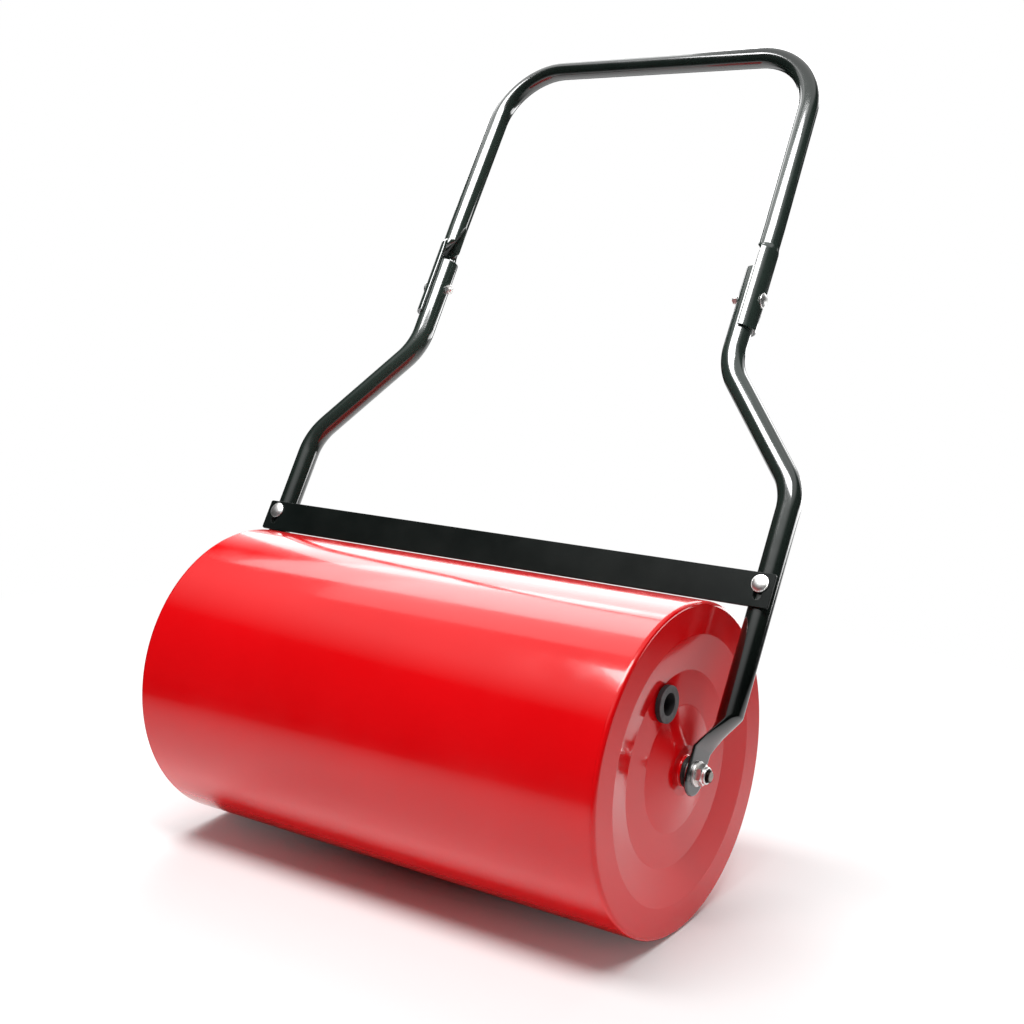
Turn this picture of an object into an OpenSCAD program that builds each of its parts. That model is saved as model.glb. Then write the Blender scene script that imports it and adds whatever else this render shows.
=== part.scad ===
// Lawn roller: a steel drum that is filled with water, pulled or pushed by a tube handle.
// Millimetres. X runs along the axle, +Y is behind the roller where the handle leans, +Z is up.
// The origin is on the ground under the middle of the axle.

/* [Drum] */
// Outer diameter of the drum
drum_d = 320; // [260:5:380]
// Width of the drum over its two end caps
drum_w = 566; // [450:2:700]
// Sheet thickness of the drum shell
shell_t = 1.5; // [1.2:0.1:3]
// Sheet thickness of the end caps
cap_t = 1.5; // [1.2:0.1:3]
// Corner radius where an end cap meets the shell
rim_r = 4; // [3.5:0.5:8]
// Length of the cap's skirt inside the shell
skirt_len = 12; // [6:1:30]
// Depth of the pressed ring in the end caps
dish_depth = 7.8; // [3:0.2:14]
// Outer radius of the pressed ring's sloping side
dish_r = 129; // [118:1:134]
// Outer radius of the pressed ring's floor
ring_outer_r = 94; // [92:1:108]
// Inner radius of the pressed ring's floor
ring_inner_r = 61; // [52:1:62]
// Radius of the raised plateau around the axle
plateau_r = 24; // [20:1:32]

/* [Filler plug] */
// Diameter of the plug's body
plug_d = 30; // [24:1:32]
// Diameter of the plug's flange
flange_d = 35.5; // [34:0.5:42]
// Thickness of the plug's flange
flange_t = 6.5; // [3:0.5:8]
// Length of the plug's body behind its flange
plug_len = 18; // [12:1:30]
// Diameter of the finger hollow in the plug
plug_bore_d = 21.5; // [14:0.5:22]
// Wall of the short tube behind the filler hole
neck_t = 1.5; // [1:0.1:2]
// Thickness of the plug's floor
plug_floor = 4; // [2:0.5:6]
// Angle of the filler hole from the top of the cap, towards the front
plug_angle = 21.5; // [0:0.5:45]

/* [Axle] */
// Diameter of the axle inside the drum
axle_d = 16; // [14:0.5:18]
// Diameter of the threaded ends
thread_d = 12; // [8:0.5:13]
// Length of thread that shows beyond a nut
thread_show = 3.2; // [2:0.1:12]
// Width of the axle nuts across their flats
axle_nut_af = 18; // [17:0.5:24]
// Height of an axle nut's hexagon
axle_nut_h = 6.2; // [5:0.1:12]
// Height of the round locking collar on an axle nut
collar_h = 3.1; // [2:0.1:8]
// Diameter of the round locking collar on an axle nut
collar_d = 16.4; // [15.4:0.2:17]
// Diameter of the washers under the axle nuts
washer_d = 24; // [22:1:34]
// Thickness of the washers under the axle nuts
washer_t = 2.5; // [1.5:0.5:4]
// Diameter of the spacers between the drum and the arms
spacer_d = 24; // [22:1:34]
// Thickness of the spacers between the drum and the arms
spacer_t = 3.5; // [2:0.5:8]

/* [Bearings] */
// Outer diameter of the tube that seals the drum around the axle
sleeve_d = 29; // [28:0.5:30]
// Wall of the tube around the axle
sleeve_t = 2; // [1.5:0.25:2.5]
// Length of that tube outside each end cap
sleeve_show = 3; // [0.5:0.5:6]
// Length of a bush inside the tube
bush_len = 22; // [12:1:40]
// Diameter of a bush's flange
bush_flange_d = 30; // [30:1:40]
// Thickness of a bush's flange
bush_flange_t = 2.6; // [1.6:0.2:5]

/* [Handle] */
// Lean of the handle from upright, towards the back
lean = 32; // [0:1:60]
// Diameter of the upper handle's tube
upper_d = 23; // [18:1:24]
// Diameter of the lower tubes
lower_d = 24.5; // [20:0.5:26]
// Wall of all the handle's tubes
tube_t = 1.5; // [1:0.1:2.5]
// Height of the grip above the axle, along the handle
grip_s = 804; // [700:2:1000]
// Distance from the middle to the upper handle's leg at the grip
grip_half = 205.5; // [180:0.5:240]
// Bend radius of the upper handle's corners
grip_bend_r = 75; // [50:1:120]
// Bend radius of the lower tubes
lower_bend_r = 60; // [40:1:66]
// Distance from the middle to the lower tube at the drum, beyond the drum's end
fork_gap = 30; // [26:0.5:60]
// Height of the outer bend above the axle, along the handle
fork_bend_s = 290; // [260:1:310]
// Distance from the joint's lower end down to the inner bend
neck_drop = 43; // [29:1:57]
// Distance from the middle to the lower tube at the joint
neck_half = 205.5; // [190:0.5:240]
// Length of the lower tube inside the joint
lower_tube_up = 70; // [60:1:76]
// Thickness of a lower tube where it is pressed flat
flat_t = 3.5; // [3.1:0.1:5]
// Width of the flat end of a lower tube
flat_w = 36; // [30:1:42]
// Length of the flat end below the axle
flat_below = 22; // [20:1:30]
// Length of the flat end above the axle
flat_above = 22; // [20:1:30]
// Height above the axle where a lower tube is round again
round_s = 49; // [44:1:70]

/* [Handle joint] */
// Height of the joint's lower end above the axle, along the handle
shell_low_s = 461; // [452:1:480]
// Length of the pressed shell at the upper handle's ends
shell_len = 84; // [82:1:100]
// Length over which the upper handle's tube turns into the pressed shell
scoop_len = 32; // [24:1:40]
// Free space between the two walls of the pressed shell
shell_gap = 0.6; // [0.4:0.1:2]
// Half of the angle that the pressed shell covers
shell_half_angle = 74; // [60:1:85]
// Distance from the joint's lower end up to its bolts
joint_bolt_up = 35; // [30:1:46]
// Diameter of the joint bolts
joint_bolt_d = 6; // [5:1:8]
// Diameter of the joint bolts' domed heads
joint_head_d = 16.5; // [14:0.5:18]
// Height of the joint bolts' domed heads
joint_head_h = 3.5; // [2.5:0.5:5]
// Width of the joint nuts across their flats
joint_nut_af = 10; // [9.5:0.5:13]
// Height of the joint nuts
joint_nut_h = 5; // [4:0.5:8]

/* [Scraper] */
// Height of the scraper bar across its face
bar_h = 35; // [33:1:45]
// Thickness of the scraper bar
bar_t = 3; // [2:0.5:5]
// Length of the scraper bar beyond the drum's end
bar_over = 44; // [42:1:60]
// Corner radius of the scraper bar
bar_corner_r = 2.5; // [1:0.5:10]
// Gap between the scraper bar and the drum at the lowest setting
bar_gap = 3.8; // [2:0.2:8]
// Travel of the scraper bar in its slots
bar_travel = 12; // [6:1:13]
// Distance from the bar's top edge to its bolts at the lowest setting
bolt_below_top = 11.5; // [10:0.5:12]
// Diameter of the scraper bolts
bar_bolt_d = 6; // [5:1:7]
// Diameter of the scraper bolts' necks in the bar's slots
bar_neck_d = 8; // [8:0.5:9]
// Diameter of the scraper bolts' domed heads
bar_head_d = 18; // [15:0.5:21]
// Height of the scraper bolts' domed heads
bar_head_h = 3; // [2:0.5:6]
// Width of the scraper nuts across their flats
bar_nut_af = 10; // [10:0.5:13]
// Height of the scraper nuts
bar_nut_h = 3.2; // [3:0.1:6]

/* [Clearances] */
// Radial gap between the axle and its bushes
run_gap = 0.06; // [0.02:0.02:0.1]
// Gap between faces of parts that move or nest
face_gap = 0.3; // [0.2:0.1:0.5]
// Axial play of the drum on each side
end_play = 0.4; // [0.3:0.1:1]
// Radial gap between a bolt and its hole
hole_gap = 0.2; // [0.1:0.1:0.5]
// Radial gap between a nut and its bolt
thread_gap = 0.05; // [0.02:0.01:0.1]
// Radial gap between the plug and its hole
plug_gap = 0.05; // [0.02:0.01:0.1]

/* [Hidden] */
$fn = 64;
hull_fn = 32;
grip_fn = 56;
cap_fn = 96;
drum_r = drum_d / 2;
axle_z = drum_r;
cap_x = drum_w / 2;
shell_x = cap_x - rim_r;
shell_in_r = drum_r - shell_t;
sleeve_x = cap_x + sleeve_show;
sleeve_in_d = sleeve_d - 2 * sleeve_t;
shoulder_x = sleeve_x + bush_flange_t + end_play;
arm_x = shoulder_x + spacer_t;
arm_out_x = arm_x + flat_t;
nut_x = arm_out_x + washer_t;
axle_end_x = nut_x + axle_nut_h + collar_h + thread_show;

plug_tail = 2;
plug_r = (ring_outer_r + ring_inner_r) / 2;
plug_x = cap_x - dish_depth;
plug_hole_d = plug_d + 2 * plug_gap;
neck_len = plug_len - plug_tail;

leg_inset = 0.6;
fork_half = cap_x + fork_gap;
shell_in_cup_r = lower_d / 2 + face_gap;
shell_out_cup_r = shell_in_cup_r + 2 * tube_t + shell_gap;
leg_half = neck_half + shell_out_cup_r - upper_d / 2 - leg_inset;
shell_top_s = shell_low_s + shell_len;
neck_bend_s = shell_low_s - neck_drop;
lower_top_s = shell_low_s + lower_tube_up;
joint_bolt_s = shell_low_s + joint_bolt_up;
leg_low_s = shell_top_s + scoop_len;
joint_in_x = neck_half - lower_d / 2;
joint_out_x = neck_half + shell_out_cup_r;

bar_n = -lower_d / 2 - face_gap;
bar_front_n = bar_n - bar_t;
bar_low_s = sqrt(pow(drum_r + bar_gap, 2) - bar_n * bar_n);
bar_top_s = bar_low_s + bar_h;
bar_bolt_s = bar_top_s - bolt_below_top;
bar_half = cap_x + bar_over;
slot_r = bar_neck_d / 2 + face_gap;

fold_angle = 4;
scoop_angle = 30;
bolt_show = 2;
bar_bolt_show = 0.6;
cut = 1;
lap = 2;
weld = 0.2;
seam_lap = 0.3;
seam_step = 0.02;

function unit(v) = v / norm(v);
function turn_at(p, i) =
    let (a = unit(p[i] - p[i - 1]), b = unit(p[i + 1] - p[i]))
    atan2(a[0] * b[1] - a[1] * b[0], a * b);
function setback(p, i, r) =
    (i == 0 || i == len(p) - 1) ? 0 : r * tan(abs(turn_at(p, i)) / 2);
function arc(centre, r, from, to, steps = 8) =
    [for (i = [0:steps]) let (a = from + (to - from) * i / steps)
        centre + r * [cos(a), sin(a)]];

module ring(d, t) {
    difference() {
        circle(d = d);
        circle(d = d - 2 * t);
    }
}

// A bent tube along 2D points in the X-Z plane. Each straight ends a seam_lap inside its bends,
// within their wall by seam_step, so that the pieces join cleanly.
module bent_tube(p, bend_r, d, t) {
    for (i = [0 : len(p) - 2]) {
        along = unit(p[i + 1] - p[i]);
        from = p[i] + along * (setback(p, i, bend_r) - (i > 0 ? seam_lap : 0));
        to = p[i + 1] - along * (setback(p, i + 1, bend_r) - (i < len(p) - 2 ? seam_lap : 0));
        translate([from[0], 0, from[1]])
            rotate([0, atan2(along[0], along[1]), 0])
                linear_extrude(norm(to - from))
                    ring(d - 2 * seam_step, t - 2 * seam_step);
    }
    for (i = [1 : len(p) - 2]) {
        turn = turn_at(p, i);
        along = unit(p[i] - p[i - 1]);
        side = sign(turn) * [-along[1], along[0]];
        centre = p[i] - along * setback(p, i, bend_r) + side * bend_r;
        first = atan2(-side[1], -side[0]);
        translate([centre[0], 0, centre[1]])
            rotate([90, 0, 0])
                rotate([0, 0, min(first, first + turn)])
                    rotate_extrude(angle = abs(turn))
                        translate([bend_r, 0])
                            ring(d, t);
    }
}

// A domed head with its flat side at z = 0.
module dome(d, h) {
    ball_r = (d * d / 4 + h * h) / (2 * h);
    intersection() {
        translate([0, 0, h - ball_r])
            sphere(r = ball_r);
        cylinder(d = d + cut, h = h + cut);
    }
}

module coach_bolt(d, head_d, head_h, length) {
    dome(head_d, head_h);
    translate([0, 0, -length])
        cylinder(d = d, h = length);
}

module hex_nut(af, h, bolt_d) {
    difference() {
        cylinder(d = af / cos(30), h = h, $fn = 6);
        translate([0, 0, -cut])
            cylinder(d = bolt_d + 2 * thread_gap, h = h + 2 * cut);
    }
}

// X along the axle, Y across the handle and Z up along it, from the axle.
module on_handle() {
    translate([0, 0, axle_z])
        rotate([-lean, 0, 0])
            children();
}

// Z along the axle, outwards on the given side, from the drum's middle.
module on_axle(side) {
    translate([0, 0, axle_z])
        rotate([0, 90 * side, 0])
            children();
}

module on_side(side) {
    mirror([side < 0 ? 1 : 0, 0, 0])
        children();
}

// The sector that the pressed shell covers, as a 2D wedge around +X.
module shell_wedge(half_angle) {
    far = 2 * shell_out_cup_r;
    polygon([
        [0, 0],
        far * [cos(half_angle), -sin(half_angle)],
        far * [2, -1],
        far * [2, 1],
        far * [cos(half_angle), sin(half_angle)]
    ]);
}

// The outer half of a lower tube is cupped by two pressed walls, folded at both edges.
module shell_outline(inset = 0) {
    fold_r = (shell_out_cup_r - shell_in_cup_r) / 2;
    intersection() {
        ring(2 * (shell_out_cup_r - inset), 2 * (fold_r - inset));
        shell_wedge(shell_half_angle);
    }
    for (side = [-1, 1])
        rotate(side * shell_half_angle)
            translate([shell_in_cup_r + fold_r, 0])
                circle(r = fold_r - inset);
}

module shell_hollow() {
    intersection() {
        ring(2 * (shell_out_cup_r - tube_t), shell_gap);
        shell_wedge(shell_half_angle - fold_angle);
    }
}

module pressed_shell() {
    translate([neck_half, 0, shell_low_s])
        linear_extrude(shell_len)
            difference() {
                shell_outline();
                shell_hollow();
            }
}

// The inner side of the tube runs out into the cup like a spoon.
module scoop() {
    cup_r = shell_in_cup_r + weld;
    difference() {
        hull() {
            translate([neck_half, 0, shell_top_s - lap])
                linear_extrude(lap)
                    shell_outline(weld, $fn = hull_fn);
            translate([leg_half, 0, leg_low_s])
                cylinder(d = upper_d - 2 * weld, h = lap, $fn = hull_fn);
        }
        translate([neck_half, 0, shell_top_s - lap - cut])
            cylinder(r = cup_r, h = lap + 2 * cut);
        translate([neck_half, 0, shell_top_s])
            rotate([0, -scoop_angle, 0])
                cylinder(r = cup_r, h = 3 * scoop_len);
    }
}

module joint_hole() {
    translate([0, 0, joint_bolt_s])
        rotate([0, 90, 0])
            cylinder(d = joint_bolt_d + 2 * hole_gap, h = 2 * neck_half);
}

module upper_handle() {
    color("#15201c")
        on_handle() {
            bent_tube([
                [-leg_half, leg_low_s],
                [-grip_half, grip_s],
                [grip_half, grip_s],
                [leg_half, leg_low_s]
            ], grip_bend_r, upper_d, tube_t, $fn = grip_fn);
            for (side = [-1, 1])
                on_side(side)
                    difference() {
                        union() {
                            pressed_shell();
                            scoop();
                        }
                        joint_hole();
                    }
        }
}

// The flat end bolted to the axle, with the arm's inner face at arm_x.
module flat_end() {
    translate([arm_x, 0, 0])
        rotate([90, 0, 90])
            linear_extrude(flat_t) {
                translate([-flat_w / 2, flat_w / 2 - flat_below])
                    square([flat_w, flat_above + flat_below - flat_w / 2]);
                translate([0, flat_w / 2 - flat_below])
                    circle(d = flat_w);
            }
}

module flat_to_round() {
    hull() {
        translate([arm_x + weld, -flat_w / 2 + weld, flat_above - lap])
            cube([flat_t - 2 * weld, flat_w - 2 * weld, lap]);
        translate([fork_half, 0, round_s])
            cylinder(d = lower_d - 2 * weld, h = lap, $fn = hull_fn);
    }
}

module lower_tube(side) {
    color("#15201c")
        on_handle()
            on_side(side)
                difference() {
                    union() {
                        bent_tube([
                            [fork_half, round_s],
                            [fork_half, fork_bend_s],
                            [neck_half, neck_bend_s],
                            [neck_half, lower_top_s]
                        ], lower_bend_r, lower_d, tube_t);
                        flat_to_round();
                        flat_end();
                    }
                    joint_hole();
                    translate([arm_x - cut, 0, 0])
                        rotate([0, 90, 0])
                            cylinder(d = thread_d + 2 * hole_gap, h = flat_t + 2 * cut);
                    translate([fork_half, lower_d, bar_bolt_s])
                        rotate([90, 0, 0])
                            cylinder(d = bar_bolt_d + 2 * hole_gap, h = 2 * lower_d);
                }
}

module joint_bolt(side) {
    color("silver")
        on_handle()
            on_side(side)
                translate([joint_out_x, 0, joint_bolt_s])
                    rotate([0, 90, 0])
                        coach_bolt(joint_bolt_d, joint_head_d, joint_head_h,
                            joint_out_x - joint_in_x + joint_nut_h + bolt_show);
}

module joint_nut(side) {
    color("silver")
        on_handle()
            on_side(side)
                translate([joint_in_x, 0, joint_bolt_s])
                    rotate([0, -90, 0])
                        hex_nut(joint_nut_af, joint_nut_h, joint_bolt_d);
}

module scraper_bolt(side) {
    color("silver")
        on_handle()
            on_side(side)
                translate([fork_half, bar_front_n - face_gap, bar_bolt_s])
                    rotate([90, 0, 0]) {
                        coach_bolt(bar_bolt_d, bar_head_d, bar_head_h,
                            lower_d + bar_t + 2 * face_gap + bar_nut_h + bar_bolt_show);
                        translate([0, 0, -bar_t - 2 * face_gap])
                            cylinder(d = bar_neck_d, h = bar_t + 2 * face_gap);
                    }
}

module scraper_nut(side) {
    color("silver")
        on_handle()
            on_side(side)
                translate([fork_half, lower_d / 2, bar_bolt_s])
                    rotate([-90, 0, 0])
                        hex_nut(bar_nut_af, bar_nut_h, bar_bolt_d);
}

module axle_rod() {
    chamfer = 1;
    color("silver") {
        on_axle(1)
            translate([0, 0, -shoulder_x])
                cylinder(d = axle_d, h = 2 * shoulder_x);
        for (side = [-1, 1])
            on_axle(side)
                translate([0, 0, shoulder_x]) {
                    cylinder(d = thread_d, h = axle_end_x - shoulder_x - chamfer);
                    translate([0, 0, axle_end_x - shoulder_x - chamfer])
                        cylinder(d1 = thread_d, d2 = thread_d - 2 * chamfer, h = chamfer);
                }
    }
}

module axle_nut(side) {
    color("silver")
        on_axle(side)
            translate([0, 0, nut_x]) {
                hex_nut(axle_nut_af, axle_nut_h, thread_d);
                translate([0, 0, axle_nut_h])
                    difference() {
                        cylinder(d = collar_d, h = collar_h);
                        translate([0, 0, -cut])
                            cylinder(d = thread_d + 2 * thread_gap, h = collar_h + 2 * cut);
                    }
            }
}

module axle_washer(side) {
    color("silver")
        on_axle(side)
            translate([0, 0, arm_out_x])
                linear_extrude(washer_t)
                    ring(washer_d, (washer_d - thread_d) / 2 - hole_gap);
}

module axle_spacer(side) {
    color("silver")
        on_axle(side)
            translate([0, 0, shoulder_x])
                linear_extrude(spacer_t)
                    ring(spacer_d, (spacer_d - thread_d) / 2 - hole_gap);
}

module bar_outline() {
    for (x = [-1, 1], z = [-1, 1])
        translate([x * (bar_half - bar_corner_r), z * (bar_h / 2 - bar_corner_r)])
            circle(r = bar_corner_r);
    square([2 * bar_half, bar_h - 2 * bar_corner_r], center = true);
    square([2 * (bar_half - bar_corner_r), bar_h], center = true);
}

// The bolts stay on the tubes, so a slot reaches down from the bolt by the bar's travel.
module slot() {
    circle(r = slot_r);
    translate([0, -bar_travel])
        circle(r = slot_r);
    translate([-slot_r, -bar_travel])
        square([2 * slot_r, bar_travel]);
}

module scraper_bar() {
    color("#15201c")
        on_handle()
            translate([0, bar_n, (bar_low_s + bar_top_s) / 2])
                rotate([90, 0, 0])
                    linear_extrude(bar_t)
                        difference() {
                            bar_outline();
                            for (side = [-1, 1])
                                translate([side * fork_half, bar_h / 2 - bolt_below_top])
                                    slot();
                        }
}

module drum_shell() {
    color("red")
        on_axle(1)
            translate([0, 0, -shell_x])
                linear_extrude(2 * shell_x)
                    ring(drum_d, shell_t);
}

// Half section of an end cap: radius across, distance from the drum's middle up.
function cap_outside(lift, rim_centre, r) = concat(
    [
        [sleeve_d / 2, cap_x + lift],
        [plateau_r, cap_x + lift],
        [ring_inner_r, plug_x + lift],
        [ring_outer_r, plug_x + lift],
        [dish_r, cap_x + lift]
    ],
    arc(rim_centre, r, 90, 0)
);

module cap_section() {
    skirt_in_r = shell_in_r - cap_t;
    inner_r = skirt_in_r - (drum_r - rim_r);
    polygon(concat(
        cap_outside(0, [drum_r - rim_r, shell_x], rim_r),
        [
            [shell_in_r, shell_x],
            [shell_in_r, shell_x - skirt_len],
            [skirt_in_r, shell_x - skirt_len],
            [skirt_in_r, cap_x - cap_t - inner_r],
            [drum_r - rim_r, cap_x - cap_t],
            [dish_r, cap_x - cap_t],
            [ring_outer_r, plug_x - cap_t],
            [ring_inner_r, plug_x - cap_t],
            [plateau_r, cap_x - cap_t],
            [sleeve_d / 2, cap_x - cap_t]
        ]
    ));
}

module end_cap(side) {
    color("red")
        on_axle(side)
            rotate_extrude($fn = cap_fn)
                cap_section();
}

// Places its children at the filler hole, with Z pointing out of the drum.
module at_plug() {
    translate([plug_x, -plug_r * sin(plug_angle), axle_z + plug_r * cos(plug_angle)])
        rotate([0, 90, 0])
            children();
}

module end_cap_right() {
    color("red")
        difference() {
            end_cap(1);
            at_plug()
                translate([0, 0, -cap_t - cut])
                    cylinder(d = plug_hole_d, h = cap_t + 2 * cut);
        }
}

// The short tube behind the filler hole that the plug grips.
module filler_neck() {
    color("red")
        at_plug()
            translate([0, 0, -neck_len])
                linear_extrude(neck_len - cap_t)
                    ring(plug_hole_d + 2 * neck_t, neck_t);
}

module axle_sleeve() {
    color("red")
        on_axle(1)
            translate([0, 0, -sleeve_x])
                linear_extrude(2 * sleeve_x)
                    ring(sleeve_d, sleeve_t);
}

module bush(side) {
    color("#22201f")
        on_axle(side)
            difference() {
                union() {
                    translate([0, 0, sleeve_x - bush_len])
                        cylinder(d = sleeve_in_d, h = bush_len);
                    translate([0, 0, sleeve_x])
                        cylinder(d = bush_flange_d, h = bush_flange_t);
                }
                translate([0, 0, sleeve_x - bush_len - cut])
                    cylinder(d = axle_d + 2 * run_gap, h = bush_len + bush_flange_t + 2 * cut);
            }
}

module filler_plug() {
    edge = 1.2;
    lip = 0.6;
    color("#26272a")
        at_plug()
            rotate_extrude()
                polygon([
                    [0, -plug_len],
                    [plug_d / 2, -plug_len],
                    [plug_d / 2, 0],
                    [plug_d / 2 + lip, 0],
                    [flange_d / 2, edge],
                    [flange_d / 2, flange_t],
                    [plug_bore_d / 2, flange_t],
                    [plug_bore_d / 2, plug_floor - plug_len],
                    [0, plug_floor - plug_len]
                ]);
}

upper_handle();
lower_tube(-1);  // lower_tube_left
lower_tube(1);  // lower_tube_right
joint_bolt(-1);  // joint_bolt_left
joint_bolt(1);  // joint_bolt_right
joint_nut(-1);  // joint_nut_left
joint_nut(1);  // joint_nut_right
scraper_bolt(-1);  // scraper_bolt_left
scraper_bolt(1);  // scraper_bolt_right
scraper_nut(-1);  // scraper_nut_left
scraper_nut(1);  // scraper_nut_right
axle_rod();
axle_nut(-1);  // axle_nut_left
axle_nut(1);  // axle_nut_right
axle_washer(-1);  // axle_washer_left
axle_washer(1);  // axle_washer_right
axle_spacer(-1);  // axle_spacer_left
axle_spacer(1);  // axle_spacer_right
scraper_bar();
drum_shell();
end_cap(-1);  // end_cap_left
end_cap_right();
filler_neck();
axle_sleeve();
bush(-1);  // bush_left
bush(1);  // bush_right
filler_plug();
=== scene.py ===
from math import asin, atan2, cos, degrees, hypot, pi, radians, sin, tan

import bmesh
import bpy
from mathutils import Matrix, Vector
from mathutils.bvhtree import BVHTree


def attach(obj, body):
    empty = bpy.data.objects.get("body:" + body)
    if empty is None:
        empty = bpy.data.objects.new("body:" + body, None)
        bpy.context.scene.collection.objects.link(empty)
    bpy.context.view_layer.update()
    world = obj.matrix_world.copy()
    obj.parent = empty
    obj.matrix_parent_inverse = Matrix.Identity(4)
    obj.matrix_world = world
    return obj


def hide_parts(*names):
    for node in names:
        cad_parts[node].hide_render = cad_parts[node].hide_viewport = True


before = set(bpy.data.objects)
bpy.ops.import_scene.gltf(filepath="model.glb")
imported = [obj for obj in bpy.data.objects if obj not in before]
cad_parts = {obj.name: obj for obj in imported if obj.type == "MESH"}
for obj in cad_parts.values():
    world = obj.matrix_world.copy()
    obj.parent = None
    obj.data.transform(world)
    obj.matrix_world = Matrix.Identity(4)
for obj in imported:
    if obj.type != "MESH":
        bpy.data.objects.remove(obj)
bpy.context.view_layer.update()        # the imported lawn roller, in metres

print("loaded the frame")

# X runs along the axle, +Y is behind the roller, +Z is up, and the floor is at 0.
axleHeight = 0.160
handleLean = radians(32)
# across the handle's plane: x along the axle, y across, z up along the handle from the axle
handlePlane = Matrix.Translation((0, 0, axleHeight)) @ Matrix.Rotation(-handleLean, 4, "X")
sides = (-1, 1)
sideName = {-1: "Left", 1: "Right"}
tiny = 1e-5


def setAll(thing, **settings):
    for key, value in settings.items():
        setattr(thing, key, value)
    return thing


def addObject(name, data):
    thing = bpy.data.objects.new(name, data)
    bpy.context.scene.collection.objects.link(thing)
    return thing


def plainMesh(thing):
    # an object as it looks with its modifiers, in a new mesh
    depsgraph = bpy.context.evaluated_depsgraph_get()
    return bpy.data.meshes.new_from_object(thing.evaluated_get(depsgraph), depsgraph=depsgraph)


# the photograph's points, in a 1024 by 1024 frame, and the camera that they set
photoSize = 1024
photoPoints = {
    "drumLeftEdge": (142.5, None),
    "handleRightEdge": (817.2, None),
    "handleTopEdge": (None, 47.7),
    "capBottomEdge": (None, 940.6),
    "scraperHeadLeft": (277.0, 511.8),
    "scraperHeadRight": (759.7, 582.5),
    "barCornerTopLeft": (272.0, 503.0),
    "barCornerTopRight": (777.0, 572.0),
    "jointHeadRight": (762.7, 301.2),
    "jointNutLeft": (451.0, 288.0),
    "plugRing": (668.0, 706.0),
    "washerCentre": (697.4, 773.3),
    "axleEnd": (711.3, 774.7),
    "armLowEnd": (None, 795.5),
    "lowerTubeTopRight": (None, 266.0),
    "weldTack": (686.6, 756.5),
}
camera = {
    "place": (0.92088, -1.18564, 0.67304),
    "turn": 35.145,
    "down": 11.275,
    "roll": -0.06,
    "lens": 53.12,
    "sensor": 36.0,
    "shiftX": 0.0,
    "shiftY": 0.0,
    "clipEnd": 50,
}

lensData = setAll(
    bpy.data.cameras.new("photoCamera"), lens=camera["lens"], sensor_width=camera["sensor"],
    sensor_fit="AUTO", shift_x=camera["shiftX"], shift_y=camera["shiftY"], clip_end=camera["clipEnd"])
photoCamera = addObject("photoCamera", lensData)
photoCamera.matrix_world = (
    Matrix.Translation(camera["place"])
    @ Matrix.Rotation(radians(camera["turn"]), 4, "Z")
    @ Matrix.Rotation(radians(90 - camera["down"]), 4, "X")
    @ Matrix.Rotation(radians(camera["roll"]), 4, "Z")
)
bpy.context.scene.camera = photoCamera
print("camera set")


def surfaceOf(pieces):
    # one tree of the pieces' finished faces
    points, faces = [], []
    for piece in pieces:
        first = len(points)
        points += [v.co.copy() for v in piece.data.vertices]
        faces += [[first + i for i in face.vertices] for face in piece.data.polygons]
    return BVHTree.FromPolygons(points, faces)


def onSurface(name, carrier):
    # the place and normal where an image point's ray meets the piece that carries it
    x, y = photoPoints[name]
    way = Vector((x - photoSize / 2 + camera["shiftX"] * photoSize,
                  photoSize / 2 - y + camera["shiftY"] * photoSize,
                  -photoSize * camera["lens"] / camera["sensor"])).normalized()
    start = photoCamera.matrix_world.translation
    way = photoCamera.matrix_world.to_3x3() @ way
    tree = surfaceOf([carrier])
    place, facing, *rest = tree.ray_cast(start, way)
    if place is None:
        # past the edge, the place nearest the ray
        along = [start + way * (v.co - start).dot(way) for v in carrier.data.vertices]
        place, facing, *rest = min((tree.find_nearest(p) for p in along), key=lambda hit: hit[3])
    return place, facing


# helpers for meshes
def meshPiece(name, points, edges=(), faces=()):
    mesh = bpy.data.meshes.new(name)
    mesh.from_pydata([tuple(p) for p in points], edges, faces)
    mesh.update()
    return addObject(name, mesh)


def freeze(piece):
    # turns a piece and its modifiers into one plain mesh
    plain = plainMesh(piece)
    piece.modifiers.clear()
    old = piece.data
    piece.data = plain
    bpy.data.meshes.remove(old)
    plain.name = piece.name
    return piece


def tidyMesh(piece, mergeBelow=1e-6, flip=False):
    # merges doubles and points every face outwards
    work = bmesh.new()
    work.from_mesh(piece.data)
    bmesh.ops.remove_doubles(work, verts=work.verts, dist=mergeBelow)
    bmesh.ops.dissolve_degenerate(work, edges=work.edges, dist=mergeBelow)
    bmesh.ops.recalc_face_normals(work, faces=work.faces)
    if flip:
        bmesh.ops.reverse_faces(work, faces=work.faces)
    work.to_mesh(piece.data)
    work.free()


def smoothMesh(piece, sharpOver=35):
    for face in piece.data.polygons:
        face.use_smooth = True
    piece.data.set_sharp_from_angle(angle=radians(sharpOver))


def addModifier(piece, kind, **values):
    return setAll(piece.modifiers.new(kind.title(), kind), **values)


def removePiece(piece):
    mesh = piece.data
    bpy.data.objects.remove(piece)
    bpy.data.meshes.remove(mesh)


def cutOut(piece, tool):
    # drills the tool's shape out of a piece
    addModifier(piece, "BOOLEAN", operation="DIFFERENCE", solver="EXACT", object=tool)
    freeze(piece)
    removePiece(tool)


def mergePieces(name, pieces):
    # joins plain meshes, with their places already in them, under one name
    work = bmesh.new()
    materials = []
    for piece in pieces:
        work.from_mesh(piece.data)
        for material in piece.data.materials:
            if material not in materials:
                materials.append(material)
    joined = meshPiece(name, [])
    work.to_mesh(joined.data)
    work.free()
    for material in materials:
        joined.data.materials.append(material)
    for piece in pieces:
        removePiece(piece)
    return joined


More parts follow.
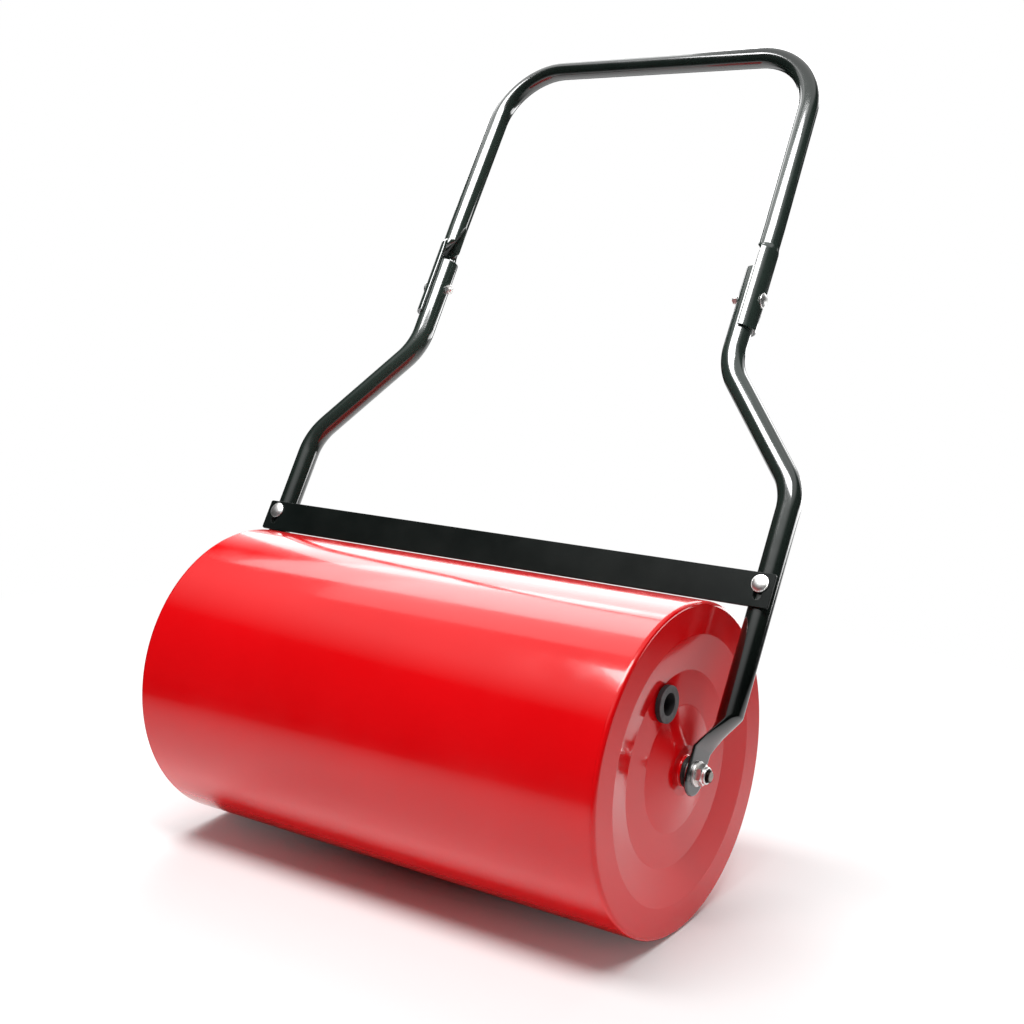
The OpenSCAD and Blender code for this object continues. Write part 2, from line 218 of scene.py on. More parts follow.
# helpers for nodes
def addNode(tree, kind, inputs, **settings):
    # each input takes a value, a socket, or the first output of a node
    node = setAll(tree.nodes.new(kind), **settings)
    for key, value in inputs.items():
        for source in value if isinstance(value, list) else [value]:
            if isinstance(source, bpy.types.Node):
                source = source.outputs[0]
            if isinstance(source, bpy.types.NodeSocket):
                tree.links.new(source, node.inputs[key])
            else:
                node.inputs[key].default_value = source
    return node


# Geometry Nodes trees
def startTree(name, *sockets):
    # every tree takes geometry, its own named sizes and a material
    tree = bpy.data.node_groups.new(name, "GeometryNodeTree")
    tree.interface.new_socket("Geometry", in_out="OUTPUT", socket_type="NodeSocketGeometry")
    for label, kind in (("Geometry", "Geometry"), *sockets, ("Material", "Material")):
        tree.interface.new_socket(label, in_out="INPUT", socket_type="NodeSocket" + kind)
    return tree, tree.nodes.new("NodeGroupInput").outputs


def endTree(tree, source, geometry):
    realize = addNode(tree, "GeometryNodeRealizeInstances", {"Geometry": geometry})
    paint = addNode(tree, "GeometryNodeSetMaterial",
                    {"Geometry": realize, "Material": source["Material"]})
    addNode(tree, "NodeGroupOutput", {"Geometry": paint})
    return tree


def growPiece(piece, tree, **values):
    # runs a tree on a piece and keeps the result as a plain mesh
    modifier = piece.modifiers.new(tree.name, "NODES")
    modifier.node_group = tree
    for item in tree.interface.items_tree:
        if item.item_type == "SOCKET" and item.in_out == "INPUT" and item.name in values:
            modifier[item.identifier] = values[item.name]
    return freeze(piece)


def makeTurnedTree():
    # spins a section, drawn as radius and height, round the Z axis
    tree, source = startTree("turnedPiece", ("Segments", "Int"))
    section = addNode(tree, "GeometryNodeMeshToCurve", {"Mesh": source["Geometry"]})
    path = addNode(tree, "GeometryNodeCurvePrimitiveCircle",
                   {"Resolution": source["Segments"], "Radius": 1.0})
    sweep = addNode(tree, "GeometryNodeCurveToMesh", {"Curve": path, "Profile Curve": section})
    return endTree(tree, source, sweep)


def makeTubeTree():
    # sweeps a round tube along a path of edges
    tree, source = startTree("bentTube", ("Radius", "Float"), ("Segments", "Int"))
    path = addNode(tree, "GeometryNodeMeshToCurve", {"Mesh": source["Geometry"]})
    section = addNode(tree, "GeometryNodeCurvePrimitiveCircle",
                      {"Resolution": source["Segments"], "Radius": source["Radius"]})
    sweep = addNode(tree, "GeometryNodeCurveToMesh", {"Curve": path, "Profile Curve": section})
    return endTree(tree, source, sweep)


def makeFastenerTree():
    # puts one fastener on every point, its Z axis along the point's "facing"
    tree, source = startTree("placedFasteners", ("Fastener", "Object"), ("Turn", "Float"))
    fastener = addNode(tree, "GeometryNodeObjectInfo", {"Object": source["Fastener"]})
    facing = addNode(tree, "GeometryNodeInputNamedAttribute", {"Name": "facing"},
                     data_type="FLOAT_VECTOR")
    align = addNode(tree, "FunctionNodeAlignRotationToVector",
                    {"Vector": facing.outputs["Attribute"]}, axis="Z")
    turn = addNode(tree, "ShaderNodeCombineXYZ", {"Z": source["Turn"]})
    spin = addNode(tree, "FunctionNodeRotateRotation", {"Rotation": align, "Rotate By": turn},
                   rotation_space="LOCAL")
    place = addNode(tree, "GeometryNodeInstanceOnPoints", {
        "Points": source["Geometry"], "Instance": fastener.outputs["Geometry"], "Rotation": spin})
    return endTree(tree, source, place)


threadSides = {"round": 40, "ridge": 4}


def makeThreadTree():
    # winds a small ridge round the Z axis and joins it to the input
    tree, source = startTree(
        "threadRidge", ("Radius", "Float"), ("Pitch", "Float"), ("Turns", "Float"),
        ("Ridge", "Float"), ("Start", "Vector"))
    height = addNode(tree, "ShaderNodeMath", {0: source["Pitch"], 1: source["Turns"]},
                     operation="MULTIPLY")
    helix = addNode(tree, "GeometryNodeCurveSpiral", {
        "Resolution": threadSides["round"], "Rotations": source["Turns"], "Height": height,
        "Start Radius": source["Radius"], "End Radius": source["Radius"]})
    ridge = addNode(tree, "GeometryNodeCurvePrimitiveCircle",
                    {"Resolution": threadSides["ridge"], "Radius": source["Ridge"]})
    sweep = addNode(tree, "GeometryNodeCurveToMesh",
                    {"Curve": helix, "Profile Curve": ridge, "Fill Caps": True})
    lift = addNode(tree, "GeometryNodeTransform", {"Geometry": sweep, "Translation": source["Start"]})
    both = addNode(tree, "GeometryNodeJoinGeometry", {"Geometry": [lift, source["Geometry"]]})
    return endTree(tree, source, both)


turnedTree = makeTurnedTree()
tubeTree = makeTubeTree()
fastenerTree = makeFastenerTree()
threadTree = makeThreadTree()
print("node trees built")


# materials
def coordsOf(tree, move=(0, 0, 0), scale=(1, 1, 1)):
    # the piece's own coordinates
    own = addNode(tree, "ShaderNodeTexCoord", {}).outputs["Object"]
    return addNode(tree, "ShaderNodeMapping", {"Vector": own, "Location": move, "Scale": scale})


def noiseOf(tree, coords, scale, detail=3.0, roughness=0.5):
    return addNode(tree, "ShaderNodeTexNoise", {
        "Vector": coords, "Scale": scale, "Detail": detail, "Roughness": roughness})


def axisOf(tree, vector, axis):
    return addNode(tree, "ShaderNodeSeparateXYZ", {"Vector": vector}).outputs[axis]


def lengthOf(tree, vector):
    return addNode(tree, "ShaderNodeVectorMath", {0: vector}, operation="LENGTH").outputs["Value"]


def rangeOf(tree, value, low, high, toLow=0, toHigh=1):
    return addNode(tree, "ShaderNodeMapRange", {
        "Value": value, "From Min": low, "From Max": high, "To Min": toLow, "To Max": toHigh})


def blendOf(tree, factor, first, second):
    # in the mix node, sockets 6 and 7 take the colours and output 2 gives the colour
    first, second = [(*c, 1) if isinstance(c, tuple) else c for c in (first, second)]
    return addNode(tree, "ShaderNodeMix", {0: factor, 6: first, 7: second}, data_type="RGBA").outputs[2]


def startMaterial(name, **sockets):
    material = bpy.data.materials.new(name)
    material.use_nodes = True
    shader = material.node_tree.nodes["Principled BSDF"]
    for key, value in sockets.items():
        shader.inputs[key.replace("_", " ")].default_value = value
    return material, material.node_tree, shader


def makeSurface(name, look, **sockets):
    # patches of two colours, an uneven shine and layers of fine bumps, the deepest first
    material, tree, shader = startMaterial(name, **sockets)
    coords = coordsOf(tree, scale=look.get("stretch", (1, 1, 1)))
    patches = noiseOf(tree, coords, *look["patches"])
    colour = blendOf(tree, rangeOf(tree, patches, *look["spread"]), *look["colours"])
    haze = noiseOf(tree, coords, *look["haze"]) if "haze" in look else patches
    rough = rangeOf(tree, haze, *look["rough"])
    fine = coordsOf(tree, scale=look.get("bumpStretch", (1, 1, 1)))
    under = {}
    for noise, strength, distance in look["bumps"]:
        bump = addNode(tree, "ShaderNodeBump", {
            "Strength": strength, "Distance": distance, "Height": noiseOf(tree, fine, *noise), **under})
        under = {"Normal": bump}
    tree.links.new(colour, shader.inputs["Base Color"])
    tree.links.new(rough.outputs[0], shader.inputs["Roughness"])
    tree.links.new(bump.outputs[0], shader.inputs["Normal"])
    return material, tree, shader, colour


redPaint = {
    "colours": ((0.72, 0.002, 0.004), (0.80, 0.003, 0.006)), "patches": (5.0, 2.0),
    "spread": (0.3, 0.7), "haze": (22.0, 6.0, 0.6), "rough": (0.35, 0.75, 0.10, 0.20),
    "bumps": (((3.2, 1.0), 0.6, 0.0007), ((420, 2.0), 0.5, 0.00003)),
}


def makeRedPaint():
    # thick gloss over sheet metal that waves a little
    material, tree, shader, *rest = makeSurface("redPaint", redPaint, IOR=1.5, Coat_Weight=0.35,
                                                Coat_Roughness=0.03)
    tree.links.new(shader.inputs["Normal"].links[0].from_socket, shader.inputs["Coat Normal"])
    return material


blackPaint = {
    "colours": ((0.0010, 0.0022, 0.0018), (0.006, 0.009, 0.008)), "patches": (60.0, 7.0, 0.65),
    "spread": (0.58, 0.80, 0, 0.6), "haze": (30.0, 4.0), "rough": (0.3, 0.7, 0.12, 0.24),
    "bumps": (((40.0, 1.0), 0.25, 0.00015), ((600, 2.0), 0.3, 0.00001)),
    # the paler tone part way up the handle, the heights where it comes in, and where the grip is
    # darkened back as painted shade
    "paleBetween": (0.023, 0.035, 0.029), "fade": (0.24, 0.50), "grip": (0.76, 0.83, 0, 0.75),
}


def makeBlackPaint():
    # deep black by the drum, paler in between, and darkened again at the grip as painted shade
    material, tree, shader, dusty = makeSurface("blackPaint", blackPaint, IOR=1.6, Coat_Weight=1.0,
                                                Coat_IOR=1.6, Coat_Roughness=0.04)
    height = axisOf(tree, coordsOf(tree), "Z")
    paleBetween = blendOf(tree, rangeOf(tree, height, *blackPaint["fade"]), dusty, blackPaint["paleBetween"])
    # painted shade: towards the grip the colour goes back to deep black
    gripShaded = blendOf(tree, rangeOf(tree, height, *blackPaint["grip"]), paleBetween, dusty)
    tree.links.new(gripShaded, shader.inputs["Base Color"])
    return material


axleSteel = {
    "colours": ((0.50, 0.48, 0.45), (0.30, 0.26, 0.22)), "patches": (90.0, 5.0, 0.6),
    "spread": (0.45, 0.7), "stretch": (1, 6, 6), "rough": (0.3, 0.8, 0.32, 0.62),
    "bumps": (((60.0, 2.0), 0.4, 0.00004),), "bumpStretch": (40, 1, 1),
    # the dark colour painted on the thread's side as shade, and the radii where it starts
    "threadShade": (0.030, 0.022, 0.018), "threadShadeSpan": (0.0043, 0.0049),
}


def makeAxleSteel():
    # painted shade: away from the middle of the bare end face, the thread's side is painted dark
    material, tree, shader, metal = makeSurface("axleSteel", axleSteel, Metallic=1.0)
    fromAxle = lengthOf(tree, coordsOf(tree, move=(0, 0, -axleHeight), scale=(0, 1, 1)))
    # painted shade: dark on the thread's side, bare metal at the middle of the end face
    shadedThread = blendOf(tree, rangeOf(tree, fromAxle, *axleSteel["threadShadeSpan"]), metal, axleSteel["threadShade"])
    tree.links.new(shadedThread, shader.inputs["Base Color"])
    return material


plugRubber = {
    "colours": ((0.135, 0.126, 0.128), (0.085, 0.078, 0.080)), "patches": (110.0, 6.0, 0.65),
    "spread": (0.35, 0.7), "rough": (0.3, 0.8, 0.62, 0.82), "bumps": (((1400, 3.0), 0.6, 0.00006),),
    # the near-black colour painted as shade on the sides and in the hollow, and the heights of the
    # paler outer face
    "side": (0.022, 0.020, 0.021), "face": (0.2807, 0.2814),
}


def makePlugRubber():
    # black rubber with a paler outer face, its sides and hollow painted near black as shade
    material, tree, shader, faceTone = makeSurface("plugRubber", plugRubber, IOR=1.45)
    face = rangeOf(tree, axisOf(tree, coordsOf(tree), "X"), *plugRubber["face"])
    # painted shade: near black everywhere except the outer face
    tree.links.new(blendOf(tree, face, plugRubber["side"], faceTone), shader.inputs["Base Color"])
    return material


barPaint = {
    "colours": ((0.0022, 0.0042, 0.0036), (0.0042, 0.0070, 0.0060)), "patches": (18.0, 5.0, 0.6),
    "spread": (0.35, 0.75), "rough": (0.3, 0.8, 0.28, 0.42), "bumps": (((900, 2.0), 0.6, 0.00004),),
}
zincPlate = {
    "colours": ((0.96, 0.96, 0.95), (0.89, 0.87, 0.83)), "patches": (120.0, 3.0),
    "spread": (0.45, 0.75), "haze": (700.0, 4.0, 0.6), "rough": (0.35, 0.75, 0.34, 0.48),
    "bumps": (((260, 2.0), 0.5, 0.00003),),
}
bushNylon = {
    "colours": ((0.020, 0.018, 0.018), (0.045, 0.036, 0.030)), "patches": (150.0, 5.0, 0.6),
    "spread": (0.5, 0.8), "rough": (0.3, 0.8, 0.38, 0.58),
    "bumps": (((150.0, 5.0, 0.6), 0.3, 0.00005),),
}
paintedRed = makeRedPaint()
paintedBlack = makeBlackPaint()
bareAxle = makeAxleSteel()
blackRubber = makePlugRubber()
paintedBar = makeSurface("barPaint", barPaint, IOR=1.27)[0]
platedZinc = makeSurface("zincPlate", zincPlate, Metallic=1.0)[0]
blackNylon = makeSurface("bushNylon", bushNylon, IOR=1.5)[0]
print("materials made")


# turned pieces: sections of (radius, height), spun round the axle
def cornerArc(before, here, after, radius, steps):
    # the arc that rounds a corner, and the ways back and ahead from it
    back, ahead = (before - here).normalized(), (after - here).normalized()
    half = back.angle(ahead) / 2
    reach = radius / tan(half)
    middle = here + (back + ahead).normalized() * radius / sin(half)
    start, stop = here + back * reach - middle, here + ahead * reach - middle
    firstAngle = atan2(start.y, start.x)
    turn = (atan2(stop.y, stop.x) - firstAngle + pi) % (2 * pi) - pi
    angles = [firstAngle + turn * k / steps for k in range(steps + 1)]
    return [middle + radius * Vector((cos(a), sin(a))) for a in angles], back, ahead


def roundCorners(points, radii, steps=4, hold=0.0004):
    # turns listed corners into small arcs, with a point held just before and after each
    out = []
    for i, corner in enumerate(points):
        if i not in radii:
            out.append(corner)
            continue
        after = Vector(points[(i + 1) % len(points)])
        arc, back, ahead = cornerArc(Vector(points[i - 1]), Vector(corner), after, radii[i], steps)
        out += [tuple(p) for p in (arc[0] + back * hold, *arc, arc[-1] + ahead * hold)]
    return out


def arcPoints(x, y, radius, fromAngle, toAngle, steps=8):
    angles = [radians(fromAngle + (toAngle - fromAngle) * k / steps) for k in range(steps + 1)]
    return [(x + radius * cos(angle), y + radius * sin(angle)) for angle in angles]


def mirrored(half):
    # a section drawn from its middle outwards, with its mirror image before it
    return [(radius, -height) for radius, height in reversed(half[1:])] + half[1:]


def turned(name, section, material, segments=64, closed=True, sharpOver=35, rounds=(), steps=4):
    if rounds:
        section = roundCorners(section, rounds, steps, hold=0.0001)
    points = [(radius - 1, -height, 0) for radius, height in section]
    edges = [(i, i + 1) for i in range(len(points) - 1)]
    if closed:
        edges.append((len(points) - 1, 0))
    piece = meshPiece(name, points, edges)
    growPiece(piece, turnedTree, Segments=segments, Material=material)
    tidyMesh(piece, mergeBelow=2e-6)
    smoothMesh(piece, sharpOver)
    return piece


def ontoAxle(piece, side=1, along=0.0, back=0.0, up=axleHeight):
    # Z of the piece becomes X, outwards on the given side
    turn = Matrix.Rotation(radians(90 * side), 4, "Y")
    piece.data.transform(Matrix.Translation((along, back, up)) @ turn)
    return piece


drum = {
    "radius": 0.160, "capFace": 0.283, "shellEnd": 0.279, "sheet": 0.0015,
    "rimOut": 0.0039, "rimIn": 0.0025, "skirt": 0.012, "dishDepth": 0.0078, "dishRadius": 0.129,
    "ringOuter": 0.094, "ringInner": 0.061, "plateau": 0.024, "foldRound": 0.005,
    "segments": 192, "bands": 24, "endBand": 0.002,
}


def makeDrumShell():
    outer, inner, end = drum["radius"], drum["radius"] - drum["sheet"], drum["shellEnd"]
    inset, bands = end - drum["endBand"], drum["bands"]
    along = sorted([-inset, inset] + [end * (2 * k / bands - 1) for k in range(bands + 1)])
    section = [(outer, h) for h in along] + [(inner, h) for h in reversed(along)]
    return ontoAxle(turned("drumShell", section, paintedRed, drum["segments"]))


def capSection():
    face, sheet, end = drum["capFace"], drum["sheet"], drum["shellEnd"]
    floor, skirtEnd = face - drum["dishDepth"], end - drum["skirt"]
    outer, skirtOut = drum["radius"], drum["radius"] - sheet
    skirtIn = skirtOut - sheet
    # the dish has an outer face and, one sheet below it, an inner one
    dish = [(sleeve["radius"], face), (drum["plateau"], face), (drum["ringInner"], floor),
            (drum["ringOuter"], floor), (drum["dishRadius"], face)]
    points = [
        *dish, (outer, face), (outer, end), (skirtOut, end), (skirtOut, skirtEnd),
        (skirtIn, skirtEnd), (skirtIn, face - sheet), *((r, h - sheet) for r, h in reversed(dish)),
    ]
    radii = dict.fromkeys((1, 2, 3, 4, 11, 12, 13, 14), drum["foldRound"])
    return roundCorners(points, {**radii, 5: drum["rimOut"], 10: drum["rimIn"]}, steps=6)


sleeve = {"radius": 0.0145, "wall": 0.002, "end": 0.286, "weld": 0.0012, "under": 0.0005, "steps": 6}
bush = {"bore": 0.00806, "length": 0.022, "flange": 0.015, "flangeThick": 0.0026,
        "rounds": {3: 0.0003, 4: 0.0006, 5: 0.0003}}
plug = {
    "place": (0.2752, -0.02840, 0.23211), "radius": 0.015, "flange": 0.01775, "flangeThick": 0.0065,
    "length": 0.018, "hollow": 0.01075, "floor": 0.004, "lip": 0.0006, "edge": 0.0012,
    "gap": 0.00005, "neckWall": 0.0015, "neckLength": 0.016,
    "neckRounds": {0: 0.0003, 1: 0.0003}, "segments": 72,
    "rounds": {1: 0.002, 4: 0.0006, 5: 0.0007, 6: 0.0008, 7: 0.002},
}


def makeEndCap(side):
    cap = ontoAxle(turned("endCap" + sideName[side], capSection(), paintedRed, drum["segments"]), side)
    if side > 0:
        hole = plug["radius"] + plug["gap"]
        reach = drum["skirt"]
        tool = turned("holeTool", [(0, -reach), (hole, -reach), (hole, reach), (0, reach)],
                      paintedRed, closed=False)
        cutOut(cap, ontoAxle(tool, 1, *plug["place"]))
        smoothMesh(cap)
    return cap


def makeAxleSleeve():
    # the tube that seals the drum, with a hollow fillet of weld where it leaves each cap
    outer, inner, end = sleeve["radius"], sleeve["radius"] - sleeve["wall"], sleeve["end"]
    weld, face = sleeve["weld"], drum["capFace"]
    fillet = arcPoints(outer + weld, face + weld, weld, -90, -180, sleeve["steps"])
    seat = face - sleeve["under"]
    half = [(outer, 0), (outer, seat), (outer + weld, seat), *fillet, (outer, end), (inner, end)]
    return ontoAxle(turned("axleSleeve", mirrored(half), paintedRed, 96))


weldTack = {"across": 0.0030, "high": 0.0010, "rings": 8, "segments": 24}


def makeWeldTacks():
    # a blob of painted weld on the sleeve, where the photograph shows it, and its mirror image
    place, facing = onSurface("weldTack", axleSleeve)
    half, high, rings = weldTack["across"] / 2, weldTack["high"], weldTack["rings"]
    bend = [radians(90 * k / rings) for k in range(rings + 1)]
    section = [(half, -high / 2)] + [(half * cos(a), high * sin(a)) for a in bend]
    tacks = []
    for side in sides:
        tack = turned("tack", section, paintedRed, weldTack["segments"], closed=False, sharpOver=80)
        turn = Vector((side * facing.x, facing.y, facing.z)).to_track_quat("Z", "Y")
        middle = Vector((side * place.x, place.y, place.z))
        tack.data.transform(Matrix.Translation(middle) @ turn.to_matrix().to_4x4())
        tacks.append(tack)
    return mergePieces("weldTacks", tacks)


def makeBush(side):
    inner, outer = bush["bore"], sleeve["radius"] - sleeve["wall"]
    start, seat = sleeve["end"] - bush["length"], sleeve["end"]
    out = seat + bush["flangeThick"]
    section = [(inner, start), (outer, start), (outer, seat), (bush["flange"], seat),
               (bush["flange"], out), (inner, out)]
    piece = turned("bush" + sideName[side], section, blackNylon, rounds=bush["rounds"], steps=3)
    return ontoAxle(piece, side)


def makeFillerNeck():
    inner = plug["radius"] + plug["gap"]
    outer = inner + plug["neckWall"]
    section = [(inner, -plug["neckLength"]), (outer, -plug["neckLength"]),
               (outer, -drum["sheet"]), (inner, -drum["sheet"])]
    piece = turned("fillerNeck", section, paintedRed, rounds=plug["neckRounds"], steps=2)
    return ontoAxle(piece, 1, *plug["place"])


def makeFillerPlug():
    body, flange, hollow = plug["radius"], plug["flange"], plug["hollow"]
    thick, length = plug["flangeThick"], plug["length"]
    section = [
        (0, -length), (body, -length), (body, 0), (body + plug["lip"], 0),
        (flange, plug["edge"]), (flange, thick), (hollow, thick),
        (hollow, plug["floor"] - length), (0, plug["floor"] - length),
    ]
    piece = turned("fillerPlug", section, blackRubber, plug["segments"], closed=False, sharpOver=50,
                   rounds=plug["rounds"])
    return ontoAxle(piece, 1, *plug["place"])


drumShell = makeDrumShell()
endCapLeft, endCapRight = makeEndCap(-1), makeEndCap(1)
axleSleeve = makeAxleSleeve()
weldTacks = makeWeldTacks()
bushLeft, bushRight = makeBush(-1), makeBush(1)
fillerNeck = makeFillerNeck()
fillerPlug = makeFillerPlug()
print("drum built")


# bent tubes, drawn in the handle's plane as (x, height along the handle)
def bentPath(corners, bendRadius, dense=(), steps=14):
    # corner points with arcs in the bends, and extra points at the dense heights
    corners = [Vector(c) for c in corners]
    out = [corners[0]]
    for before, here, after in zip(corners, corners[1:], corners[2:]):
        out += cornerArc(before, here, after, bendRadius, steps)[0]
    out.append(corners[-1])
    filled = [out[0]]
    for a, b in zip(out, out[1:]):
        low, high = sorted((a.y, b.y))
        between = sorted((h for h in dense if low + tiny < h < high - tiny), reverse=a.y > b.y)
        filled += [a + (b - a) * (h - a.y) / (b.y - a.y) for h in between]
        filled.append(b)
    return filled


def outwards(piece):
    # above 0 where an open tube's faces point away from its hollow
    work = bmesh.new()
    work.from_mesh(piece.data)
    volume = work.calc_volume(signed=True)
    work.free()
    return volume


def makeTube(name, path, tube, press):
    # sweeps a tube, presses its ends, gives it its wall and takes it to its place
    edges = [(i, i + 1) for i in range(len(path) - 1)]
    piece = meshPiece(name, [(p.x, 0, p.y) for p in path], edges)
    growPiece(piece, tubeTree, Radius=tube["radius"], Segments=tube["segments"], Material=paintedBlack)
    for vertex in piece.data.vertices:
        vertex.co = press(vertex.co)
    tidyMesh(piece, tiny)
    if outwards(piece) < 0:
        tidyMesh(piece, tiny, flip=True)
    addModifier(piece, "SOLIDIFY", thickness=tube["wall"], offset=-1, use_even_offset=False)
    freeze(piece)
    smoothMesh(piece, sharpOver=42)
    piece.data.transform(handlePlane)
    return piece


def pressed(point, x, y, z, share):
    # a point moved by a share of the way to where the press puts it
    x = -x if point.x < 0 else x
    return Vector((point.x + (x - point.x) * share, point.y + (y - point.y) * share, z))


def eased(value, low, high, knee=0.15):
    # 0 at low and 1 at high, straight between, with short soft knees
    t = min(max((value - low) / (high - low), 0), 1)
    soft = t * t * (3 - 2 * t)
    return soft + (t - soft) * (1 - knee) if 0 < t < 1 else t


def foldAngles(angle, press):
    # where a point of the round tube lands on a tube folded flat: share across, turn in the fold
    size, foldFrom, foldTo = abs(angle), radians(press["foldFrom"]), radians(press["foldTo"])
    if size <= foldFrom:
        return size / foldFrom, 0.0
    if size >= foldTo:
        return (pi - size) / (pi - foldTo), pi
    return 1.0, pi * (size - foldFrom) / (foldTo - foldFrom)


upperTube = {
    "radius": 0.0115, "wall": 0.0015, "gripHeight": 0.804, "gripHalf": 0.2055, "bend": 0.075,
    "legHalf": 0.20955, "segments": 112, "steps": 24,
}
# the outer wall flares over a short length, and the inner wall runs in slowly like a spoon
joint = {
    "low": 0.461, "half": 0.2055, "cupIn": 0.01255, "cupOut": 0.01615, "coverAngle": 74,
    "outerFlare": (0.5540, 0.5590), "innerSlope": (0.543, 0.581), "ovalDrop": 0.100,
    "backDent": 0.006, "foldFrom": 76, "foldTo": 104, "boltHeight": 0.496,
    "rows": (0.004, 0.02, 0.04, 0.06), "slopeRows": 42, "rowStep": 0.001, "rowsBelow": 0.003,
}
lowerTube = {
    "radius": 0.01225, "wall": 0.0015, "bend": 0.060, "forkHalf": 0.313, "forkBend": 0.290,
    "neckHalf": 0.2055, "neckBend": 0.418, "top": 0.531, "segments": 64,
}
arm = {
    "inner": 0.2925, "outer": 0.296, "halfWidth": 0.018, "below": 0.022, "flatTop": 0.022,
    "roundAgain": 0.049, "roundOutside": 0.060, "foldFrom": 80, "foldTo": 100,
    "tipRows": 15, "pressRows": 22, "rows": [0.008, 0.11, 0.18],
}


def pressShell(point):
    # the tube's inner half folds into the outer half and cups the lower tube
    if point.z > joint["innerSlope"][1]:
        return point
    angle = atan2(point.y, abs(point.x) - upperTube["legHalf"])
    across, fold = foldAngles(angle, joint)
    # the dent is highest in the middle of the inner side and an oval in outline
    inwards = max(degrees(abs(angle)) - joint["foldTo"], 0) / (180 - joint["foldTo"])
    lip, dentTop = joint["innerSlope"]
    lowest = joint["outerFlare"][1] if point.y < 0 else lip + joint["backDent"]
    dentTop = max(dentTop - joint["ovalDrop"] * (1 - inwards) ** 2, lowest)
    outerShare = 1 - eased(point.z, *joint["outerFlare"])
    innerShare = 1 - eased(point.z, lip, dentTop)
    share = outerShare + (innerShare - outerShare) * (1 - cos(fold)) / 2
    foldRound = (joint["cupOut"] - joint["cupIn"]) / 2
    middle = (joint["cupOut"] + joint["cupIn"]) / 2
    reach = middle + foldRound * cos(fold)
    cover = radians(joint["coverAngle"]) * across + foldRound / middle * sin(fold)
    x = joint["half"] + reach * cos(cover)
    y = reach * sin(cover) * (1 if angle >= 0 else -1)
    return pressed(point, x, y, point.z, share)


def makeUpperHandle():
    low, high = joint["low"], joint["innerSlope"][1]
    leg = upperTube["legHalf"]
    firstRow = joint["innerSlope"][0] - joint["rowsBelow"]
    dense = [low + row for row in joint["rows"]]
    dense += [firstRow + joint["rowStep"] * k for k in range(joint["slopeRows"])]
    corners = [(-leg, high), (-upperTube["gripHalf"], upperTube["gripHeight"]),
               (upperTube["gripHalf"], upperTube["gripHeight"]), (leg, high)]
    curved = bentPath(corners, upperTube["bend"], dense, upperTube["steps"])
    legDown = [low] + sorted(h for h in dense if low < h < high - tiny)
    path = [Vector((-leg, h)) for h in legDown] + curved
    path += [Vector((leg, h)) for h in reversed(legDown)]
    return makeTube("upperHandle", path, upperTube, pressShell)


def flattenArm(point):
    # the lower end is pressed flat, bent in to the axle, and rounded off below it
    angle = atan2(point.y, abs(point.x) - lowerTube["forkHalf"])
    outside = (1 + cos(angle)) / 2
    share = 1 - eased(point.z, arm["flatTop"],
                      arm["roundAgain"] + (arm["roundOutside"] - arm["roundAgain"]) * outside)
    if share <= 0:
        return point
    across, fold = foldAngles(angle, arm)
    half = (arm["outer"] - arm["inner"]) / 2
    x = arm["inner"] + half + half * cos(fold)
    turnHeight = arm["halfWidth"] - arm["below"]
    z = point.z
    width = arm["halfWidth"] - half + half * (sin(fold) if across == 1 else 0)
    if z < turnHeight:
        dip = asin(min((turnHeight - z) / arm["halfWidth"], 1))
        z = turnHeight - width * sin(dip)
        width *= cos(dip)
    y = width * across * (1 if angle >= 0 else -1)
    return pressed(point, x, y, z if share == 1 else point.z, share)


def makeLowerTube(side):
    turnHeight = arm["halfWidth"] - arm["below"]
    dips = [radians(90 * k / arm["tipRows"]) for k in range(arm["tipRows"] + 1)]
    dense = arm["rows"] + [turnHeight - arm["halfWidth"] * sin(dip) for dip in dips]
    pressed = (arm["roundOutside"] - arm["flatTop"]) / arm["pressRows"]
    dense += [arm["flatTop"] + pressed * k for k in range(arm["pressRows"] + 1)]
    corners = [
        (lowerTube["forkHalf"], -arm["below"]), (lowerTube["forkHalf"], lowerTube["forkBend"]),
        (lowerTube["neckHalf"], lowerTube["neckBend"]), (lowerTube["neckHalf"], lowerTube["top"]),
    ]
    path = bentPath(corners, lowerTube["bend"], dense)
    path = [Vector((side * p.x, p.y)) for p in path]
    return makeTube("lowerTube" + sideName[side], path, lowerTube, flattenArm)


upperHandle = makeUpperHandle()
lowerTubeLeft, lowerTubeRight = makeLowerTube(-1), makeLowerTube(1)
print("handle built")


# scraper bar
bar = {
    "height": 0.035, "thick": 0.003, "half": 0.327, "corner": 0.0025, "back": -0.01255,
    "low": 0.16332, "boltBelowTop": 0.0115, "slotRadius": 0.0043, "travel": 0.012, "edge": 0.0005,
}


